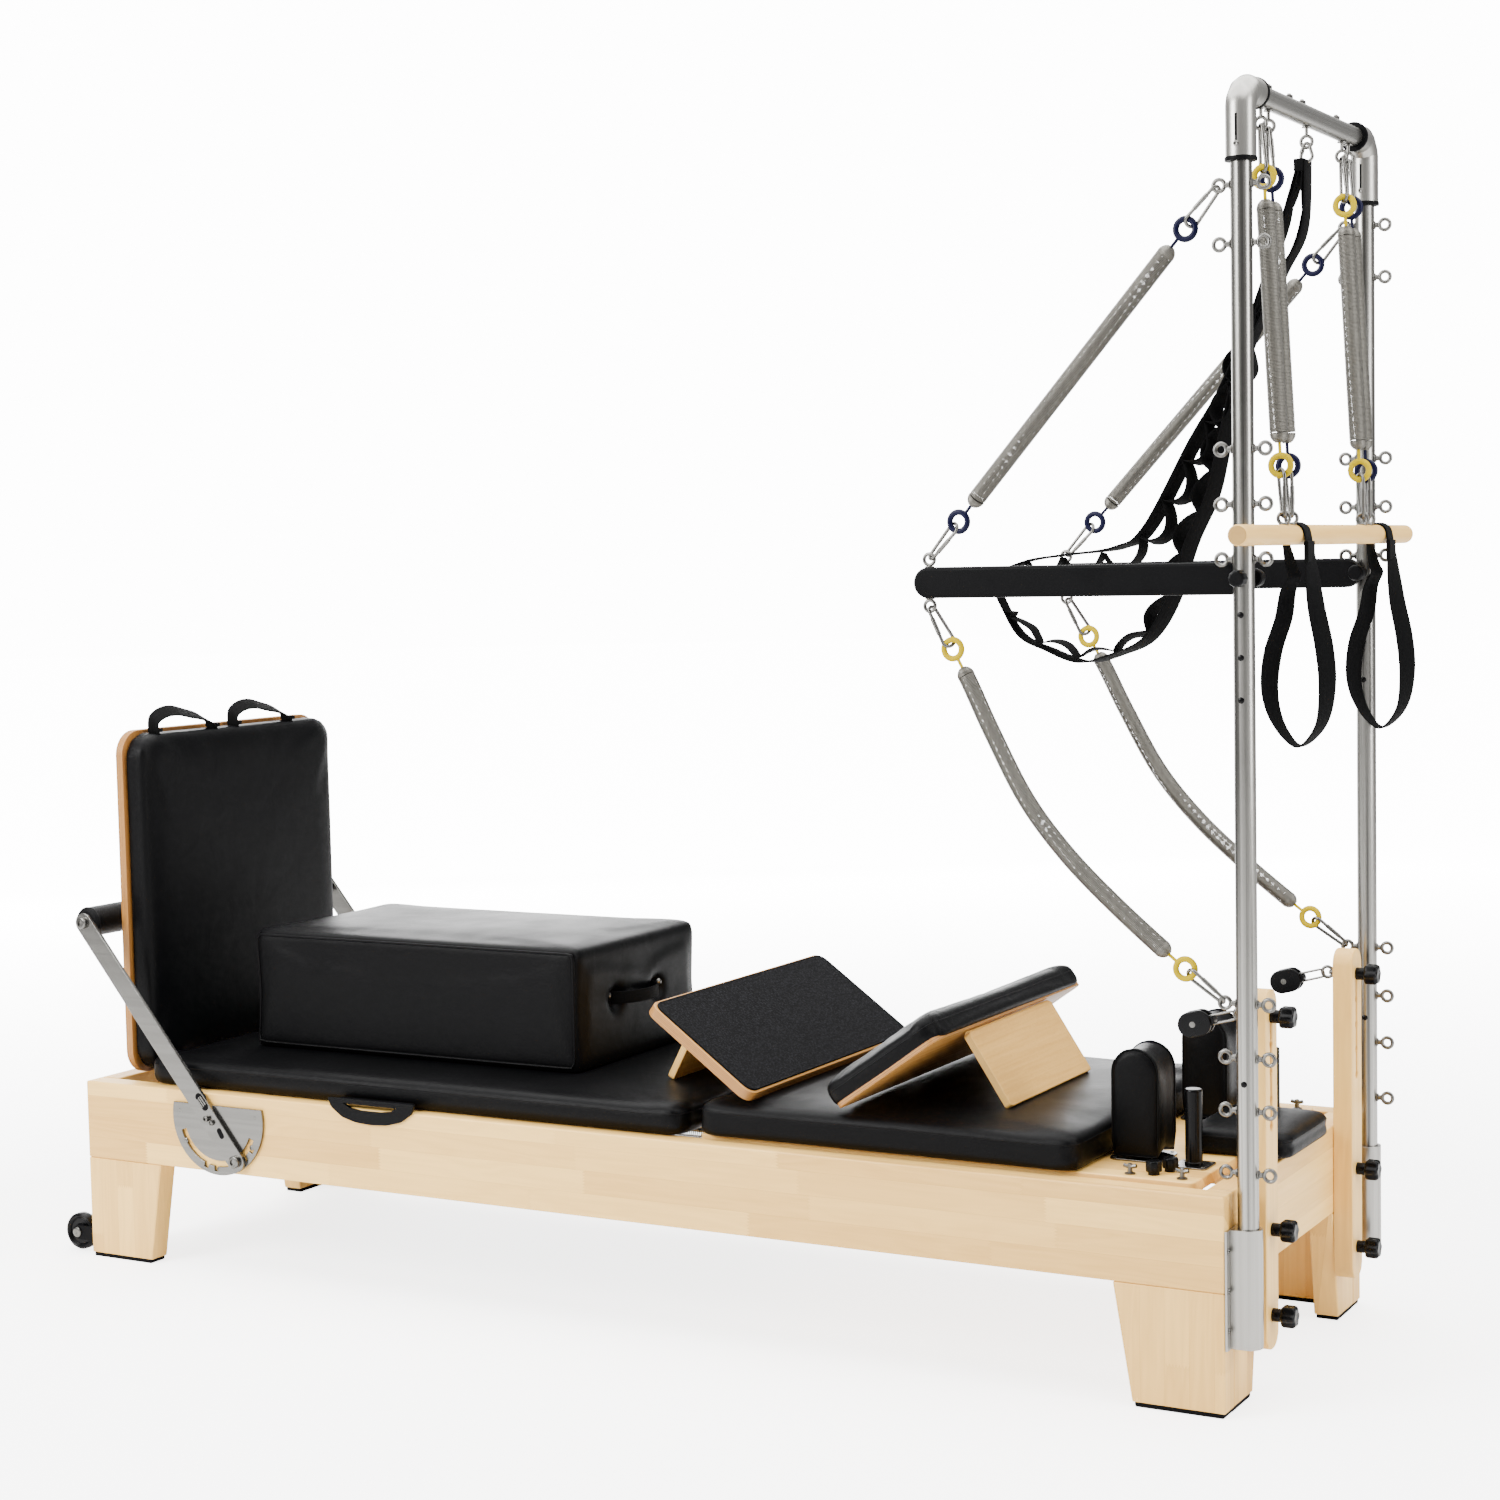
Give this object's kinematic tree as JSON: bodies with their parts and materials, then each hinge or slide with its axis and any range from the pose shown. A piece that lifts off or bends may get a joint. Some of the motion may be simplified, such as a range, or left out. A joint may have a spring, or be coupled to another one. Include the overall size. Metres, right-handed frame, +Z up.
{
  "type": "pilates reformer with half tower",
  "caption": "Wooden reformer bed with sliding padded carriage, footbar, jumpboard, sitting box and a steel half tower with springs, push-through bar, roll-down bar and strap loops.",
  "frame": {"origin": "on the floor, at the middle of the bounding box", "axes": "+X from the foot end with the footbar to the head end with the tower, +Y from the near side to the far side as the picture shows them, +Z up"},
  "size_m": [2.602, 0.926, 2.124],
  "materials": {
    "maple": "satin",
    "ply": "satin",
    "leather": "matte",
    "webbing": "matte",
    "black_plastic": "gloss",
    "rubber": "matte",
    "tube_steel": "satin",
    "plate_steel": "satin",
    "spring_steel": "satin",
    "aluminium": "polished"
  },
  "bodies": {
    "base": {"near_side_rail": "maple", "far_side_rail": "maple", "head_end_board": "maple", "foot_end_board": "maple", "near_foot_leg": "maple", "near_head_leg": "maple", "far_foot_leg": "maple", "far_head_leg": "maple", "near_carriage_track": "aluminium", "far_carriage_track": "aluminium", "carriage_springs": "spring_steel", "near_cam_plate": "plate_steel", "far_cam_plate": "plate_steel", "near_tower_bracket": "aluminium", "far_tower_bracket": "aluminium", "near_tower_post": "tube_steel", "far_tower_post": "tube_steel", "near_tower_elbow": "aluminium", "far_tower_elbow": "aluminium", "tower_crossbar": "tube_steel", "near_riser": "maple", "far_riser": "maple", "near_upper_spring": "spring_steel", "far_upper_spring": "spring_steel", "near_lower_spring": "spring_steel", "far_lower_spring": "spring_steel", "ladder_strap": "webbing"},
    "near_wheel": {"near_transport_wheel": "rubber"},
    "far_wheel": {"far_transport_wheel": "rubber"},
    "mat": {"mat_pad": "leather"},
    "box": {"sitting_box": "leather"},
    "tilt": {"tilt_board": "ply"},
    "tilt_leg": {"tilt_board_leg": "ply"},
    "carriage": {"carriage_frame": "maple", "carriage_pad": "leather"},
    "near_rest": {"near_shoulder_rest": "leather"},
    "far_rest": {"far_shoulder_rest": "leather"},
    "head_pad": {"headrest": "leather"},
    "incline": {"incline_pad": "leather"},
    "incline_prop": {"incline_leg": "ply"},
    "jump": {"jumpboard": "ply", "jumpboard_pad": "leather"},
    "footbar": {"near_footbar_arm": "plate_steel", "far_footbar_arm": "plate_steel", "footbar_roll": "leather"},
    "near_upper_turn": {"near_riser_upper_knob": "black_plastic"},
    "near_lower_turn": {"near_riser_lower_knob": "black_plastic"},
    "far_upper_turn": {"far_riser_upper_knob": "black_plastic"},
    "far_lower_turn": {"far_riser_lower_knob": "black_plastic"},
    "near_eye": {"near_pulley_knob": "black_plastic"},
    "far_eye": {"far_pulley_knob": "black_plastic"},
    "near_pulley": {"near_pulley_block": "black_plastic"},
    "far_pulley": {"far_pulley_block": "black_plastic"},
    "push_bar": {"push_through_bar": "leather"},
    "roll_down": {"roll_down_bar": "maple", "near_hanging_spring": "spring_steel", "far_hanging_spring": "spring_steel"},
    "near_loop": {"near_strap_loop": "webbing"},
    "far_loop": {"far_strap_loop": "webbing"}
  },
  "joints": [
    {"name": "carriage_slide", "type": "slide", "parent": "base", "child": "carriage", "axis": [1, 0, 0], "range_m": [0, 0.022], "stiffness_N_per_m": 600, "springref_m": -0.3, "deforming": ["carriage_springs"]},
    {"name": "headrest_tilt", "type": "hinge", "parent": "carriage", "child": "head_pad", "pos_m": [1.02648, 0, 0.3663], "axis": [0, -1, 0], "range_deg": [0, 35]},
    {"name": "near_rest_lift", "type": "slide", "parent": "carriage", "child": "near_rest", "axis": [0, 0, 1], "range_m": [0, 0.06]},
    {"name": "far_rest_lift", "type": "slide", "parent": "carriage", "child": "far_rest", "axis": [0, 0, 1], "range_m": [0, 0.06]},
    {"name": "incline_lift", "type": "slide", "parent": "carriage", "child": "incline", "axis": [0, 0, 1], "range_m": [0, 0.1]},
    {"name": "incline_leg_open", "type": "hinge", "parent": "incline", "child": "incline_prop", "pos_m": [0.66861, -0.024, 0.55582], "axis": [0, -1, 0], "range_deg": [0, 35]},
    {"name": "mat_lift", "type": "slide", "parent": "base", "child": "mat", "axis": [0, 0, 1], "range_m": [0, 0.06]},
    {"name": "box_lift", "type": "slide", "parent": "mat", "child": "box", "axis": [0, 0, 1], "range_m": [0, 0.15]},
    {"name": "tilt_lift", "type": "slide", "parent": "mat", "child": "tilt", "axis": [0, 0, 1], "range_m": [0, 0.1]},
    {"name": "tilt_leg_open", "type": "hinge", "parent": "tilt", "child": "tilt_leg", "pos_m": [0.11254, -0.011, 0.55912], "axis": [0, 1, 0], "range_deg": [0, 35]},
    {"name": "jumpboard_lift", "type": "slide", "parent": "base", "child": "jump", "axis": [0, 0, 1], "range_m": [0, 0.08]},
    {"name": "footbar_fold", "type": "hinge", "parent": "base", "child": "footbar", "pos_m": [-0.88453, 0, 0.313], "axis": [0, -1, 0], "range_deg": [0, 48]},
    {"name": "near_wheel_spin", "type": "hinge", "parent": "base", "child": "near_wheel", "pos_m": [-1.26353, -0.343, 0.04], "axis": [0, 1, 0], "continuous": true},
    {"name": "far_wheel_spin", "type": "hinge", "parent": "base", "child": "far_wheel", "pos_m": [-1.26353, 0.343, 0.04], "axis": [0, 1, 0], "continuous": true},
    {"name": "push_bar_swing", "type": "hinge", "parent": "base", "child": "push_bar", "pos_m": [1.21548, 0, 1.34], "axis": [0, 1, 0], "range_deg": [-30, 30], "stiffness_Nm_per_rad": 60, "springref_deg": 2.84, "deforming": ["near_upper_spring", "far_upper_spring", "near_lower_spring", "far_lower_spring", "ladder_strap"]},
    {"name": "roll_down_swing", "type": "hinge", "parent": "base", "child": "roll_down", "pos_m": [1.21548, 0, 2.0565], "axis": [0, -1, 0], "range_deg": [0, 40]},
    {"name": "near_loop_swing", "type": "hinge", "parent": "roll_down", "child": "near_loop", "pos_m": [1.24927, 0, 1.407], "axis": [0, -1, 0], "range_deg": [0, 50]},
    {"name": "far_loop_swing", "type": "hinge", "parent": "roll_down", "child": "far_loop", "pos_m": [1.24927, 0, 1.407], "axis": [0, -1, 0], "range_deg": [0, 50]},
    {"name": "near_pulley_slide", "type": "slide", "parent": "base", "child": "near_eye", "axis": [0, 0, 1], "range_m": [-0.18, 0]},
    {"name": "far_pulley_slide", "type": "slide", "parent": "base", "child": "far_eye", "axis": [0, 0, 1], "range_m": [-0.18, 0]},
    {"name": "near_pulley_swivel", "type": "hinge", "parent": "near_eye", "child": "near_pulley", "pos_m": [1.17128, -0.238, 0.632], "axis": [-0.9659, 0, -0.2588], "range_deg": [-20, 20]},
    {"name": "far_pulley_swivel", "type": "hinge", "parent": "far_eye", "child": "far_pulley", "pos_m": [1.17128, 0.238, 0.632], "axis": [-0.9659, 0, -0.2588], "range_deg": [-20, 20]},
    {"name": "near_upper_knob_turn", "type": "hinge", "parent": "base", "child": "near_upper_turn", "pos_m": [1.24, -0.238, 0.282], "axis": [1, 0, 0], "continuous": true},
    {"name": "near_lower_knob_turn", "type": "hinge", "parent": "base", "child": "near_lower_turn", "pos_m": [1.24, -0.238, 0.141], "axis": [1, 0, 0], "continuous": true},
    {"name": "far_upper_knob_turn", "type": "hinge", "parent": "base", "child": "far_upper_turn", "pos_m": [1.24, 0.238, 0.282], "axis": [1, 0, 0], "continuous": true},
    {"name": "far_lower_knob_turn", "type": "hinge", "parent": "base", "child": "far_lower_turn", "pos_m": [1.24, 0.238, 0.141], "axis": [1, 0, 0], "continuous": true}
  ]
}
